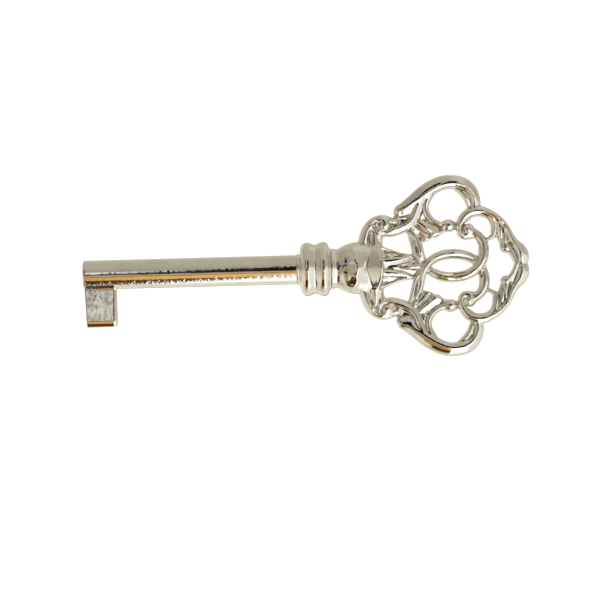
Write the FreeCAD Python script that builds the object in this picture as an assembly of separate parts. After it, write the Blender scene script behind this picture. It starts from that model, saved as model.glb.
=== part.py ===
"""Ornamental furniture key with a drilled barrel, in millimetres.

The key lies flat: +X runs along the shank from its tip towards the bow, the bow lies in
the XY plane, the bit points along -Y and +Z is up. The origin is the centre of the barrel's
mouth. Four pieces: a drilled shank with a turned tenon, a bit brazed into a groove in the
shank, a turned double-bead collar, and a cast openwork bow whose neck takes the tenon.
"""

import FreeCAD
import Part
import os
from math import cos, hypot, pi, radians, sin

Vector = FreeCAD.Vector
ORIGIN = Vector(0, 0, 0)
X_AXIS = Vector(1, 0, 0)

# Points round each oval section, and how close an edge must lie to a plane to count as in it.
OVAL_POINTS = 8
NEAR = 0.01

# Shank: a round bar, drilled from its tip, with a tenon turned on its other end.
SHANK_R = 2.5
SHANK_LENGTH = 37.2
TIP_ROUND = 0.4
BORE_R = 1.5
BORE_DEPTH = 22.0
BORE_CHAMFER = 0.2
DRILL_POINT = 0.9
TENON_R = 1.75
TENON_END = 47.2

# Bit: a plain flag, a little wider at its foot, with a tongue that sits in the shank. Its faces
# slope in towards the outer edge, turn a tight corner there, and the side by the bow is rounded.
BIT_PLAN = [(0.08, 0), (5.7, 0), (5.6, -9.5), (0.48, -9.5)]
BIT_THICKNESS = 2.2
SLOPE_START = -7.4
SLOPE_R = 3.3
SLOPE_TURN = 22.0
CORNER_R = 0.57
SIDE_ROUND = 0.4
TONGUE_START = 0.6
TONGUE_WIDTH = 4.7
TONGUE_THICKNESS = 1.4
TONGUE_DEPTH = 0.6

# Collar: a thin lip round the shank's end, then two beads on one smooth curve of (x, radius).
COLLAR_START = 36.4
LIP_END = 37.0
LIP_R = 2.8
BEADS = [
    (37.0, 3.3),
    (37.35, 4.1),
    (38.2, 4.62),
    (39.0, 4.42),
    (39.6, 4.18),
    (40.15, 4.38),
    (41.0, 4.65),
    (41.75, 4.32),
    (42.2, 3.6),
]
COLLAR_END = 42.2

# Bow neck and bud, turned in the mould: (x, radius across the bow, half thickness).
BUD = [
    (42.2, 3.60, 3.60),
    (43.3, 3.35, 3.30),
    (44.2, 3.75, 3.60),
    (45.3, 4.20, 3.95),
    (46.6, 4.40, 4.00),
    (47.8, 4.30, 3.45),
    (49.2, 4.00, 3.50),
    (50.3, 3.50, 3.60),
    (50.9, 2.80, 3.00),
]

# Ribs of the bow's upper half. A rib is a list of stations along its crest:
# (x, y, width on the left, width on the right, half thickness, height of the crest line).
EAR_RIM = [
    (53.9, 10.0, 0.50, 0.50, 0.9, 0),
    (55.5, 10.75, 0.95, 0.60, 1.35, 0),
    (57.2, 11.75, 1.20, 0.80, 1.6, 0),
    (58.8, 12.85, 1.30, 0.85, 1.7, 0),
    (60.4, 13.6, 1.40, 0.85, 1.75, 0),
    (61.9, 14.0, 1.45, 0.85, 1.75, 0),
    (63.4, 14.05, 1.45, 0.85, 1.75, 0),
    (64.8, 13.75, 1.45, 0.80, 1.7, 0),
    (66.0, 13.05, 1.35, 0.75, 1.6, 0),
    (66.8, 12.0, 1.15, 0.70, 1.5, 0),
    (67.1, 10.8, 0.95, 0.75, 1.4, 0),
    (67.0, 9.7, 0.80, 0.80, 1.3, 0),
]
STEM = [
    (50.2, 5.3, 0.50, 0.50, 1.2, 0),
    (52.0, 5.45, 0.60, 0.60, 1.35, 0),
    (53.6, 5.8, 0.65, 0.60, 1.4, 0),
    (54.9, 6.35, 0.60, 0.60, 1.45, 0),
    (55.9, 7.25, 0.60, 0.60, 1.45, 0),
    (56.6, 8.4, 0.60, 0.65, 1.45, 0),
    (57.1, 9.6, 0.60, 0.70, 1.45, 0),
    (57.8, 10.8, 0.60, 0.80, 1.45, 0),
    (58.8, 11.9, 0.60, 0.70, 1.4, 0),
    (60.1, 12.9, 0.50, 0.50, 1.3, 0),
]
SHOULDER = [
    (47.2, 3.2, 0.80, 0.80, 1.7, 0),
    (47.75, 4.9, 0.85, 0.85, 1.7, 0),
    (48.3, 6.3, 0.85, 0.80, 1.7, 0),
    (49.2, 7.4, 0.85, 0.75, 1.65, 0),
    (50.4, 8.05, 0.80, 0.70, 1.55, 0),
    (51.6, 8.1, 0.75, 0.70, 1.45, 0),
    (52.6, 7.9, 0.60, 0.60, 1.2, 0),
    (53.4, 7.9, 0.45, 0.45, 1.0, 0),
]
EAR_LIP = [
    (53.9, 10.1, 0.35, 0.35, 0.95, 0),
    (53.6, 9.3, 0.30, 0.35, 1.0, 0),
    (53.6, 8.5, 0.25, 0.45, 0.9, 0),
    (53.4, 7.7, 0.25, 0.45, 0.9, 0),
]
RING = [
    (58.0, 11.7, 0.50, 0.50, 1.1, 0),
    (58.2, 10.4, 0.65, 0.65, 1.25, 0),
    (58.5, 9.2, 0.70, 0.65, 1.3, 0),
    (59.15, 8.05, 0.70, 0.65, 1.3, 0),
    (60.1, 7.25, 0.65, 0.60, 1.3, 0),
    (61.3, 6.85, 0.60, 0.50, 1.25, 0),
    (62.8, 6.8, 0.60, 0.60, 1.25, 0),
]
LEFT_RIB = [
    (57.3, 0.9, 0.50, 0.50, 1.1, 0),
    (56.5, 2.6, 0.50, 0.45, 1.15, 0),
    (55.95, 4.2, 0.50, 0.45, 1.2, 0),
    (55.5, 6.2, 0.50, 0.45, 1.25, 0),
]
SCROLL = [
    (56.1, 6.6, 0.45, 0.45, 1.2, 0),
    (56.6, 4.9, 0.50, 0.50, 1.2, 0),
    (57.15, 3.5, 0.55, 0.55, 1.2, 0),
    (57.55, 2.1, 0.55, 0.55, 1.2, -0.1),
    (58.05, 0.7, 0.60, 0.60, 1.15, -0.4),
    (58.9, -0.55, 0.70, 0.70, 1.15, -0.4),
    (60.2, -1.4, 0.78, 0.78, 1.2, 0),
    (61.8, -1.95, 0.82, 0.82, 1.25, 0),
    (63.4, -2.0, 0.82, 0.82, 1.25, 0),
    (64.9, -1.75, 0.82, 0.82, 1.25, 0.2),
    (66.3, -1.1, 0.85, 0.85, 1.25, 0.4),
    (67.4, -0.15, 0.85, 0.85, 1.25, 0.45),
    (68.1, 1.1, 0.85, 0.85, 1.25, 0.4),
    (68.4, 2.5, 0.85, 0.85, 1.25, 0.1),
    (68.1, 3.9, 0.85, 0.85, 1.25, 0),
    (67.3, 5.1, 0.80, 0.80, 1.25, 0),
    (66.3, 5.9, 0.70, 0.70, 1.3, 0),
    (65.3, 6.5, 0.60, 0.60, 1.3, 0),
]
HOOK = [
    (67.3, 5.2, 0.50, 0.50, 1.1, 0),
    (66.1, 4.8, 0.50, 0.50, 1.25, 0),
    (65.0, 4.75, 0.50, 0.50, 1.35, 0),
    (64.3, 5.35, 0.50, 0.50, 1.4, 0),
    (64.1, 6.4, 0.50, 0.50, 1.45, 0),
    (64.35, 7.5, 0.60, 0.50, 1.5, 0),
    (65.0, 8.45, 0.70, 0.60, 1.5, 0),
    (66.1, 9.05, 0.80, 0.75, 1.55, 0),
    (67.4, 9.2, 0.85, 0.85, 1.55, 0),
    (68.6, 8.85, 0.80, 0.80, 1.5, 0),
    (69.5, 8.0, 0.65, 0.65, 1.4, 0),
    (70.05, 6.9, 0.55, 0.55, 1.35, 0),
    (70.25, 5.7, 0.55, 0.60, 1.3, 0),
    (69.95, 4.7, 0.50, 0.50, 1.2, 0),
    (68.9, 4.4, 0.45, 0.45, 1.1, 0),
    (67.9, 4.3, 0.45, 0.45, 1.1, 0),
]
WING_RIM = [
    (68.4, 9.0, 0.60, 0.60, 1.4, 0),
    (70.0, 8.35, 0.70, 0.60, 1.5, 0),
    (71.2, 7.3, 0.72, 0.60, 1.5, 0),
    (72.15, 6.0, 0.75, 0.60, 1.5, 0),
    (72.9, 4.6, 0.80, 0.60, 1.5, 0),
    (73.7, 3.4, 0.80, 0.60, 1.5, 0),
    (74.6, 2.6, 0.85, 0.60, 1.5, 0),
    (75.1, 1.6, 0.90, 0.60, 1.5, 0),
    (75.2, 0.5, 0.90, 0.60, 1.4, 0),
    (75.2, -0.3, 0.60, 0.50, 1.2, 0),
]
WING_WEB = [
    (70.4, 7.6, 0.60, 0.60, 1.0, 0),
    (71.3, 5.8, 0.95, 0.95, 1.05, 0),
    (71.85, 4.2, 1.00, 1.00, 1.05, 0),
    (72.0, 2.9, 0.95, 0.95, 1.05, 0),
    (72.8, 2.0, 0.60, 0.90, 1.05, 0),
    (73.8, 0.9, 0.80, 0.70, 1.05, 0),
    (74.6, -0.4, 0.70, 0.70, 1.0, 0),
]
LEAF = [
    (64.0, 13.4, 0.45, 0.45, 1.0, 0),
    (65.4, 12.3, 0.60, 0.60, 1.1, 0),
    (65.95, 11.2, 0.70, 0.50, 1.1, 0),
    (66.0, 9.8, 0.70, 0.45, 1.0, 0),
]
RAY = [
    (50.0, 2.6, 0.60, 0.55, 1.4, 0),
    (52.6, 2.5, 0.50, 0.45, 1.25, 0),
    (54.4, 2.15, 0.42, 0.40, 1.1, 0),
    (56.6, 1.6, 0.40, 0.40, 1.0, 0),
]

# How far a cutting shape runs past what it cuts, and how far joined shapes overlap.
PAST = 1.0

# Thin webs between the ribs, and solid bosses: (x, y) corners, and (x, y, radius).
WEB_HALF = 0.75
SHOULDER_WEB = [(47.6, 3.0), (50.8, 3.0), (50.9, 5.0), (52.6, 6.0), (52.6, 8.0), (49.0, 7.4)]
TROUGH_WEB = [(53.6, 8.1), (53.6, 6.2), (56.0, 7.5), (58.2, 11.6), (56.6, 11.4), (53.8, 10.0)]
FAN_WEB = [(56.2, 5.2), (57.9, 4.0), (60.2, 5.1), (62.6, 6.2), (60.0, 7.2), (57.8, 9.6), (56.4, 7.6)]
RAY_WEB = [(50.0, 2.9), (54.4, 2.2), (57.8, 1.1), (57.8, -1.1), (54.4, -2.2), (50.0, -2.9)]
VOLUTE_EYE = (51.3, 7.1, 1.45)
KNUCKLE = (62.75, 6.8, 1.1)
CURL_EYE = (65.3, 6.4, 1.15)


def cylinder(start, end, radius):
    """A round bar along X."""
    return Part.makeCylinder(radius, end - start, Vector(start, 0, 0), X_AXIS)


def turned(profile):
    """A solid turned about X from (x, radius) corners that end on the axis."""
    points = [Vector(x, 0, radius) for x, radius in profile]
    points.append(points[0])
    return Part.Face(Part.makePolygon(points)).revolve(ORIGIN, X_AXIS, 360)


def oval(centre, across, a, b):
    """A closed oval of half width a along the unit vector across and half height b along Z."""
    points = []
    for k in range(OVAL_POINTS):
        turn = 2 * pi * k / OVAL_POINTS
        points.append(centre + across * (a * cos(turn)) + Vector(0, 0, b * sin(turn)))
    curve = Part.BSplineCurve()
    curve.interpolate(Points=points, PeriodicFlag=True)
    return Part.Wire(curve.toShape())


def rib(stations):
    """A smooth bar of oval section that follows its stations."""
    ovals = []
    last = len(stations) - 1
    for i, (x, y, left, right, half, z) in enumerate(stations):
        before = stations[max(i - 1, 0)]
        after = stations[min(i + 1, last)]
        dx = after[0] - before[0]
        dy = after[1] - before[1]
        across = Vector(-dy / hypot(dx, dy), dx / hypot(dx, dy), 0)
        centre = Vector(x, y, z) + across * ((left - right) / 2)
        ovals.append(oval(centre, across, (left + right) / 2, half))
    return Part.makeLoft(ovals, True, False)


def web(corners):
    """A flat plate between ribs."""
    points = [Vector(x, y, -WEB_HALF) for x, y in corners]
    points.append(points[0])
    return Part.Face(Part.makePolygon(points)).extrude(Vector(0, 0, 2 * WEB_HALF))


def boss(x, y, radius):
    """A ball set in the plane of the bow."""
    return Part.makeSphere(radius, Vector(x, y, 0))


def make_shank():
    body = cylinder(0, SHANK_LENGTH, SHANK_R)
    tip_edge = [e for e in body.Edges if abs(e.CenterOfMass.x) < NEAR and len(e.Vertexes) == 1]
    body = body.makeFillet(TIP_ROUND, tip_edge)
    body = body.fuse(cylinder(SHANK_LENGTH - PAST, TENON_END, TENON_R)).removeSplitter()
    bore = turned([
        (-PAST, 0),
        (-PAST, BORE_R + BORE_CHAMFER),
        (0, BORE_R + BORE_CHAMFER),
        (BORE_CHAMFER, BORE_R),
        (BORE_DEPTH, BORE_R),
        (BORE_DEPTH + DRILL_POINT, 0),
    ])
    return body.cut(bore).cut(tongue(PAST))


def tongue(below):
    """The block let into the shank to carry the bit, reaching below the shank's surface."""
    corner = Vector(TONGUE_START, -SHANK_R - below, -TONGUE_THICKNESS / 2)
    return Part.makeBox(TONGUE_WIDTH, TONGUE_DEPTH + below, TONGUE_THICKNESS, corner)


def bit_outline():
    """The bit's outline seen along X, as a closed wire: two faces and the outer edge."""
    half = BIT_THICKNESS / 2
    turn = radians(SLOPE_TURN)
    slope_z = half - SLOPE_R
    corner_y = SLOPE_START - (SLOPE_R - CORNER_R) * sin(turn)
    corner_z = slope_z + (SLOPE_R - CORNER_R) * cos(turn)

    def slope_at(angle):
        return SLOPE_START - SLOPE_R * sin(angle), slope_z + SLOPE_R * cos(angle)

    def corner_at(angle):
        return corner_y - CORNER_R * sin(angle), corner_z + CORNER_R * cos(angle)

    slope = [slope_at(0), slope_at(turn / 2), slope_at(turn)]
    corner = [corner_at(turn), corner_at((turn + pi / 2) / 2), corner_at(pi / 2)]
    edges = []
    for side in (1, -1):
        for places in (slope, corner):
            edges.append(Part.Arc(*[Vector(0, y, side * z) for y, z in places]).toShape())
    tip_y, tip_z = corner[-1]
    edges.append(Part.makeLine(Vector(0, tip_y, tip_z), Vector(0, tip_y, -tip_z)))
    face = [(SLOPE_START, half), (0, half), (0, -half), (SLOPE_START, -half)]
    edges += Part.makePolygon([Vector(0, y, z) for y, z in face]).Edges
    return Part.Wire(Part.__sortEdges__(edges))


def make_bit():
    plan = [Vector(x, y, -BIT_THICKNESS) for x, y in BIT_PLAN]
    plan.append(plan[0])
    block = Part.Face(Part.makePolygon(plan)).extrude(Vector(0, 0, 2 * BIT_THICKNESS))
    right = max(x for x, _ in BIT_PLAN)
    flag = Part.Face(bit_outline()).extrude(X_AXIS * (right + PAST)).common(block)
    side = [e for e in flag.Edges if e.BoundBox.XMin > right - PAST and e.CenterOfMass.y < 0]
    flag = flag.makeFillet(SIDE_ROUND, side)
    flag = flag.cut(cylinder(-PAST, right + PAST, SHANK_R))
    return flag.fuse(tongue(PAST / 2)).removeSplitter()


def make_collar():
    points = [Vector(x, 0, radius) for x, radius in BEADS]
    beads = Part.BSplineCurve()
    beads.interpolate(points)
    outline = Part.makePolygon([
        points[-1],
        Vector(COLLAR_END, 0, TENON_R),
        Vector(SHANK_LENGTH, 0, TENON_R),
        Vector(SHANK_LENGTH, 0, SHANK_R),
        Vector(COLLAR_START, 0, SHANK_R),
        Vector(COLLAR_START, 0, LIP_R),
        Vector(LIP_END, 0, LIP_R),
        points[0],
    ])
    wire = Part.Wire(Part.__sortEdges__([beads.toShape()] + outline.Edges))
    return Part.Face(wire).revolve(ORIGIN, X_AXIS, 360)


def make_bud():
    """The neck and bud between the collar and the openwork."""
    ovals = [oval(Vector(x, 0, 0), Vector(0, 1, 0), a, b) for x, a, b in BUD]
    return Part.makeLoft(ovals, True, False)


def half_bow():
    """The ribs, webs and bosses above the key's axis, as separate overlapping solids."""
    ribs = (EAR_RIM, STEM, SHOULDER, EAR_LIP, RING, LEFT_RIB, SCROLL, HOOK, WING_RIM,
            WING_WEB, LEAF, RAY)
    solids = [rib(stations) for stations in ribs]
    solids += [web(corners) for corners in (SHOULDER_WEB, TROUGH_WEB, FAN_WEB)]
    solids += [boss(*place) for place in (VOLUTE_EYE, KNUCKLE, CURL_EYE)]
    return solids


def make_bow():
    """Both halves joined to the bud, with the socket for the shank's tenon."""
    upper = half_bow()
    lower = []
    for solid in upper:
        turned_over = solid.copy()
        turned_over.rotate(ORIGIN, X_AXIS, 180)
        lower.append(turned_over)
    bow = make_bud()
    for solid in [web(RAY_WEB)] + upper + lower:
        bow = bow.fuse(solid)
    socket = cylinder(COLLAR_END - PAST, TENON_END, TENON_R)
    return bow.cut(socket)


NODES = {
    "shank": make_shank,
    "bit": make_bit,
    "collar": make_collar,
    "bow": make_bow,
}

os.makedirs("parts", exist_ok=True)
for name, make in NODES.items():
    solid, = make().Solids
    solid.exportStep("parts/" + name + ".step")
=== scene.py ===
import math
import bpy
import numpy as np
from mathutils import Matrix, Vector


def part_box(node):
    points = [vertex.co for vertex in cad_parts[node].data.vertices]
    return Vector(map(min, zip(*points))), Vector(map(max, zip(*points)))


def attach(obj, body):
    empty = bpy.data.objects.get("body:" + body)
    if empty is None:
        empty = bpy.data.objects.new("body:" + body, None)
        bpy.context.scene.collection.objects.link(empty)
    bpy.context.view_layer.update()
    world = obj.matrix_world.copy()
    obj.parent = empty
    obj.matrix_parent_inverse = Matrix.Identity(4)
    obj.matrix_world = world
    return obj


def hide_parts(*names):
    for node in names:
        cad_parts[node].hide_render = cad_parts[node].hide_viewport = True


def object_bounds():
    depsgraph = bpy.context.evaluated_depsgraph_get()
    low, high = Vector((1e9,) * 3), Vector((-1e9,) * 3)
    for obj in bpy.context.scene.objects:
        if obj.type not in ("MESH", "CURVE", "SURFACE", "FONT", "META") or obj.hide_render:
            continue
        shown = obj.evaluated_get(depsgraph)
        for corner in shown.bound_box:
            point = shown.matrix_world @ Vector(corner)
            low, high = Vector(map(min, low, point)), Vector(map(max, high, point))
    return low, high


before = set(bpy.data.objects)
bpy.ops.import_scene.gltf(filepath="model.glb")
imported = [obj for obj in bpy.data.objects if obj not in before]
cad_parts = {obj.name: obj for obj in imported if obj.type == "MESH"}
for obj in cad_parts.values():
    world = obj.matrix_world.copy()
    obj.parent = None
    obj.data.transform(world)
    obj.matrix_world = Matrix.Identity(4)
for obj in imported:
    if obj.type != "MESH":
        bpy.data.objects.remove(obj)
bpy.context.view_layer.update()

# The key lies flat: +X runs along the shank from its tip to the bow, the bow lies in the XY
# plane, the bit points along -Y and +Z is up. Shapes are worked out in millimetres, from the
# CAD nodes' boxes, and become metres when their meshes are made.
MM = 0.001
# Empty clay's value, which is also further from the axis than any solid here is thick.
FAR = 9.0


def node_box(node):
    """A CAD node's lowest and highest corners, in millimetres."""
    low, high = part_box(node)
    return np.array(low) / MM, np.array(high) / MM


_, SHANK_HIGH = node_box("shank")
COLLAR_LOW, COLLAR_HIGH = node_box("collar")
BOW_LOW, BOW_HIGH = node_box("bow")
SHANK_R = 2.5
SHANK_END = 37.2
TIP_ROUND = 0.4
TENON_R = 1.75
BORE_R = 1.5
BORE_DEPTH = 22.0
DRILL_POINT = 0.9
BORE_CHAMFER = 0.2
NEAR_AXIS = 0.001

# Pits in the shank: the middle and width of their band, in degrees round the shank from +Y,
# and where along X they thin out. Then the heights of what is uneven on the turned pieces.
PIT_ANGLE = 126
PIT_WIDTH = 11
PIT_END = 18
PIT_HEIGHT = 0.0052
WAVE_HEIGHT = 0.0018
MARK_HEIGHT = 0.014
DENT_HEIGHT = 0.006

# How finely the meshes are made: points round a turned piece, rows along one, the grids on
# which the bow and the bit are worked, and the steps along their lines. Then how softly webs,
# ribs and leaves join, and the room kept round a rib or groove.
TURN_POINTS = 200
SHANK_ROW = 0.1
COLLAR_ROW = 0.06
BOW_GRID = 0.16
BIT_GRID = 0.06
LINE_STEP = 0.08
BUD_STEP = 0.1
NOISE_CELLS = 24
WEB_BLEND = 0.3
RIB_BLEND = 0.15
LEAF_BLEND = 0.2
RIB_MARGIN = 0.35
GROOVE_MARGIN = 0.1

# The bit: where its left and right sides lie along X at the axis and at the outer edge, half
# its thickness at the shank, and how much that grows for each millimetre outwards. Near the
# outer edge the faces slope in on a circle of radius SLOPE_R, sunk that far past the middle.
BIT_LEFT = (0.08, 0.48)
BIT_RIGHT = (5.7, 5.6)
BIT_REACH = 8.97
BIT_HALF = 0.92
BIT_LEAN = 0.09
SLOPE_START = -7.36
SLOPE_SINK = 0.92
SLOPE_R = 2.4
# How round the bit is where its slope begins, at its outer edge and along its right and left
# sides, and the fillet round its foot, over the given stretch of the shank.
SLOPE_ROUND = 0.03
REACH_ROUND = 0.25
RIGHT_ROUND = 0.55
LEFT_ROUND = 0.12
FILLET_ROUND = 0.35
FILLET_START = 0.5
FILLET_END = 6.2
FILLET_SINK = 0.05
# The bit ends this deep in the shank.
BIT_SUNK = 0.3
BIT_TOP = -1.3

# The collar's outline as (x, radius): a thin lip, then two beads.
COLLAR_PROFILE = [
    (36.30, 2.53),
    (36.35, 2.59),
    (36.50, 2.63),
    (36.68, 2.60),
    (36.84, 2.68),
    (36.94, 3.08),
    (37.04, 3.65),
    (37.24, 4.12),
    (37.58, 4.43),
    (37.84, 4.53),
    (38.12, 4.58),
    (38.40, 4.58),
    (38.90, 4.40),
    (39.30, 4.21),
    (39.52, 4.16),
    (39.72, 4.22),
    (40.28, 4.49),
    (40.60, 4.59),
    (40.90, 4.64),
    (41.18, 4.64),
    (41.50, 4.52),
    (41.76, 4.22),
    (41.90, 3.80),
    (42.16, 3.60),
]

# Ribs of the bow's upper half. A rib is a list of stations along its crest:
# (x, y, width on the left, width on the right, half thickness, height of the crest line).
EAR_RIM = [
    (53.9, 9.75, 0.75, 0.40, 1.1, 0),
    (55.4, 10.2, 1.25, 0.45, 1.35, 0),
    (56.7, 10.9, 1.50, 0.55, 1.5, 0),
    (57.9, 11.7, 1.70, 0.75, 1.6, 0),
    (59.0, 12.45, 1.75, 0.85, 1.65, 0),
    (60.3, 13.2, 1.72, 0.85, 1.7, 0),
    (61.6, 13.75, 1.62, 0.85, 1.75, 0),
    (63.0, 13.95, 1.50, 0.90, 1.75, 0),
    (64.4, 13.75, 1.50, 0.90, 1.7, 0),
    (65.5, 13.2, 1.45, 0.80, 1.6, 0),
    (66.3, 12.3, 1.35, 0.60, 1.5, 0),
    (66.8, 11.1, 1.20, 0.55, 1.4, 0),
    (66.9, 9.9, 1.10, 0.80, 1.3, 0),
]
STEM = [
    (51.0, 6.1, 0.40, 0.90, 1.3, 0),
    (52.5, 6.35, 0.35, 1.25, 1.4, 0),
    (54.0, 6.75, 0.35, 1.25, 1.45, 0),
    (55.3, 7.35, 0.35, 1.20, 1.45, 0),
    (56.2, 8.25, 0.35, 1.15, 1.45, 0),
    (56.75, 9.4, 0.40, 1.10, 1.45, 0),
    (57.25, 10.5, 0.50, 0.95, 1.45, 0),
    (58.0, 11.5, 0.60, 0.80, 1.45, 0),
]
SHOULDER = [
    (47.7, 3.2, 1.00, 1.20, 1.6, 0),
    (48.05, 4.8, 1.05, 0.90, 1.7, 0),
    (48.6, 6.2, 1.10, 0.75, 1.7, 0),
    (49.4, 7.15, 1.15, 0.65, 1.65, 0),
    (50.5, 7.75, 1.15, 0.55, 1.55, 0),
    (51.6, 7.85, 1.05, 0.55, 1.45, 0),
    (52.6, 7.6, 0.90, 0.50, 1.2, 0),
    (53.4, 7.6, 0.80, 0.50, 1.0, 0),
]
SHOULDER_FILL = [
    (49.5, 2.8, 1.7, 1.6, 1.7, 0),
    (49.7, 4.6, 1.5, 1.5, 1.6, 0),
    (50.2, 6.0, 1.3, 1.3, 1.5, 0),
    (51.4, 6.9, 1.2, 1.2, 1.4, 0),
]
SHOULDER_GROOVES = [
    [
        (48.8, 3.8, 0.34, 0.34, 0.5, 0),
        (48.85, 5.2, 0.36, 0.36, 0.7, 0),
        (49.1, 6.6, 0.36, 0.36, 0.7, 0),
    ],
    [
        (50.35, 4.3, 0.36, 0.36, 0.4, 0),
        (50.1, 5.6, 0.40, 0.40, 0.7, 0),
        (49.75, 6.9, 0.36, 0.36, 0.7, 0),
    ],
]
VOLUTE_GROOVE = [
    (50.6, 7.6, 0.28, 0.28, 1, 0),
    (50.65, 6.8, 0.28, 0.28, 1, 0),
    (51.2, 6.3, 0.28, 0.28, 1, 0),
    (52.0, 6.3, 0.28, 0.28, 1, 0),
    (52.55, 6.9, 0.28, 0.28, 1, 0),
    (52.5, 7.7, 0.24, 0.24, 0.6, 0),
]
VOLUTE_PIT = [
    (49.5, 7.3, 0.36, 0.36, 1, 0),
    (50.1, 7.75, 0.36, 0.36, 1, 0),
    (50.7, 7.75, 0.30, 0.30, 0.7, 0),
]
VOLUTE_EYE = [
    (51.45, 7.1, 1.45, 1.45, 1.6, 0),
    (51.55, 7.15, 1.45, 1.45, 1.6, 0),
]
TROUGH = [
    (53.4, 7.3, 1.0, 1.0, 0.5, 0),
    (54.6, 8.2, 1.5, 1.5, 0.4, 0),
    (55.8, 9.2, 1.6, 1.6, 0.4, 0),
    (57.4, 10.6, 1.2, 1.2, 0.9, 0),
]
EAR_SLOPE = [
    (53.9, 9.8, 0.3, 1.4, 1.25, 0),
    (55.2, 10.2, 0.3, 1.9, 1.30, 0),
    (56.6, 11.0, 0.3, 1.6, 1.35, 0),
]
EAR_LIP = [
    (53.9, 9.9, 0.40, 0.40, 1.0, 0),
    (53.65, 9.2, 0.38, 0.38, 1.05, 0),
    (54.0, 8.7, 0.30, 0.30, 0.95, 0),
    (54.9, 8.8, 0.22, 0.22, 0.85, 0),
]
RING = [
    (59.5, 12.3, 0.70, 0.60, 1.3, 0),
    (58.8, 11.2, 0.72, 0.60, 1.35, 0),
    (58.5, 9.9, 0.66, 0.60, 1.35, 0),
    (58.75, 8.8, 0.66, 0.60, 1.35, 0),
    (59.4, 7.9, 0.62, 0.60, 1.35, 0),
    (60.4, 7.2, 0.60, 0.55, 1.3, 0),
    (61.5, 6.9, 0.55, 0.50, 1.25, 0),
]
RING_FILL = [
    (57.9, 11.5, 0.8, 0.8, 1.15, 0),
    (57.7, 10.0, 0.9, 0.9, 1.1, 0),
    (57.8, 8.6, 0.9, 0.9, 1.1, 0),
]
FAN_FILL = [
    (56.6, 6.2, 1.0, 1.0, 0.85, 0),
    (57.9, 6.2, 1.6, 1.5, 0.8, 0),
    (59.3, 6.1, 1.4, 1.2, 0.75, 0),
    (60.8, 6.3, 0.8, 0.7, 0.75, 0),
    (62.2, 6.5, 0.6, 0.6, 0.9, 0),
]
FAN_SLOPE = [
    (57.25, 7.25, 1.3, 0.18, 1.15, 0),
    (58.4, 6.3, 1.7, 0.18, 1.15, 0),
    (59.5, 5.45, 1.9, 0.18, 1.0, 0),
]
FAN_PLATE = [
    (56.3, 6.6, 0.9, 0.9, 1.2, 0),
    (57.4, 5.8, 0.9, 0.9, 1.15, 0),
    (58.3, 5.0, 0.8, 0.8, 1.0, 0),
]
FAN_GROOVES = [
    [
        (55.9, 6.15, 0.26, 0.26, 0.5, 0),
        (56.9, 5.35, 0.30, 0.30, 1, 0),
        (57.7, 4.5, 0.26, 0.26, 0.7, 0),
    ],
    [
        (56.35, 6.55, 0.26, 0.26, 0.6, 0),
        (57.35, 5.7, 0.30, 0.30, 1, 0),
        (58.2, 4.8, 0.26, 0.26, 0.7, 0),
    ],
    [
        (56.8, 6.95, 0.26, 0.26, 0.6, 0),
        (57.85, 6.0, 0.30, 0.30, 1, 0),
        (58.8, 5.1, 0.26, 0.26, 0.7, 0),
    ],
]
FAN_EDGE = [
    (57.3, 4.65, 0.24, 0.24, 0.85, 0),
    (58.2, 4.35, 0.24, 0.24, 0.85, 0),
    (59.2, 4.75, 0.25, 0.25, 0.95, 0),
    (60.2, 5.4, 0.28, 0.28, 0.95, 0),
    (61.4, 5.85, 0.30, 0.30, 1.0, 0),
]
KNUCKLE = [
    (62.2, 6.8, 1.10, 1.10, 1.4, 0),
    (62.6, 6.8, 1.10, 1.10, 1.4, 0),
]
LEFT_RIB = [
    (57.4, 0.9, 0.40, 0.40, 1.1, 0),
    (56.5, 2.4, 0.42, 0.42, 1.2, 0),
    (56.1, 4.0, 0.42, 0.42, 1.25, 0),
    (55.65, 5.8, 0.45, 0.45, 1.3, 0),
]
SCROLL = [
    (56.2, 6.4, 0.50, 0.50, 1.2, 0),
    (56.85, 4.9, 0.55, 0.55, 1.2, 0),
    (57.3, 3.5, 0.65, 0.60, 1.2, 0),
    (57.6, 2.1, 0.65, 0.60, 1.2, 0),
    (58.05, 0.7, 0.65, 0.65, 1.15, -0.4),
    (58.9, -0.6, 0.75, 0.75, 1.15, -0.4),
    (60.2, -1.5, 0.90, 0.80, 1.2, 0),
    (61.8, -1.98, 0.95, 0.80, 1.25, 0),
    (63.4, -2.05, 0.98, 0.80, 1.25, 0),
    (64.9, -1.8, 0.95, 0.80, 1.25, 0.2),
    (66.3, -1.15, 0.90, 0.85, 1.25, 0.4),
    (67.4, -0.2, 0.90, 0.90, 1.25, 0.45),
    (68.1, 1.1, 0.95, 0.90, 1.25, 0.4),
    (68.35, 2.5, 1.00, 0.90, 1.25, 0.1),
    (68.1, 3.9, 0.95, 0.90, 1.25, 0),
    (67.4, 5.0, 0.85, 0.80, 1.25, 0),
    (66.4, 5.7, 0.80, 0.80, 1.3, 0),
]
SCROLL_LINE = [
    (60.6, -1.0, 0.24, 0.24, 1, 0),
    (61.9, -1.4, 0.26, 0.26, 1, 0),
    (63.4, -1.46, 0.26, 0.26, 1, 0),
    (64.8, -1.22, 0.26, 0.26, 1, 0),
    (66.0, -0.6, 0.26, 0.26, 1, 0),
    (67.0, 0.25, 0.26, 0.26, 1, 0),
    (67.6, 1.4, 0.26, 0.26, 1, 0),
    (67.8, 2.6, 0.26, 0.26, 1, 0),
    (67.5, 3.8, 0.26, 0.26, 1, 0),
]
CURL_EYE = [
    (65.35, 5.9, 1.40, 1.40, 1.5, 0),
    (65.5, 5.9, 1.40, 1.40, 1.5, 0),
]
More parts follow.
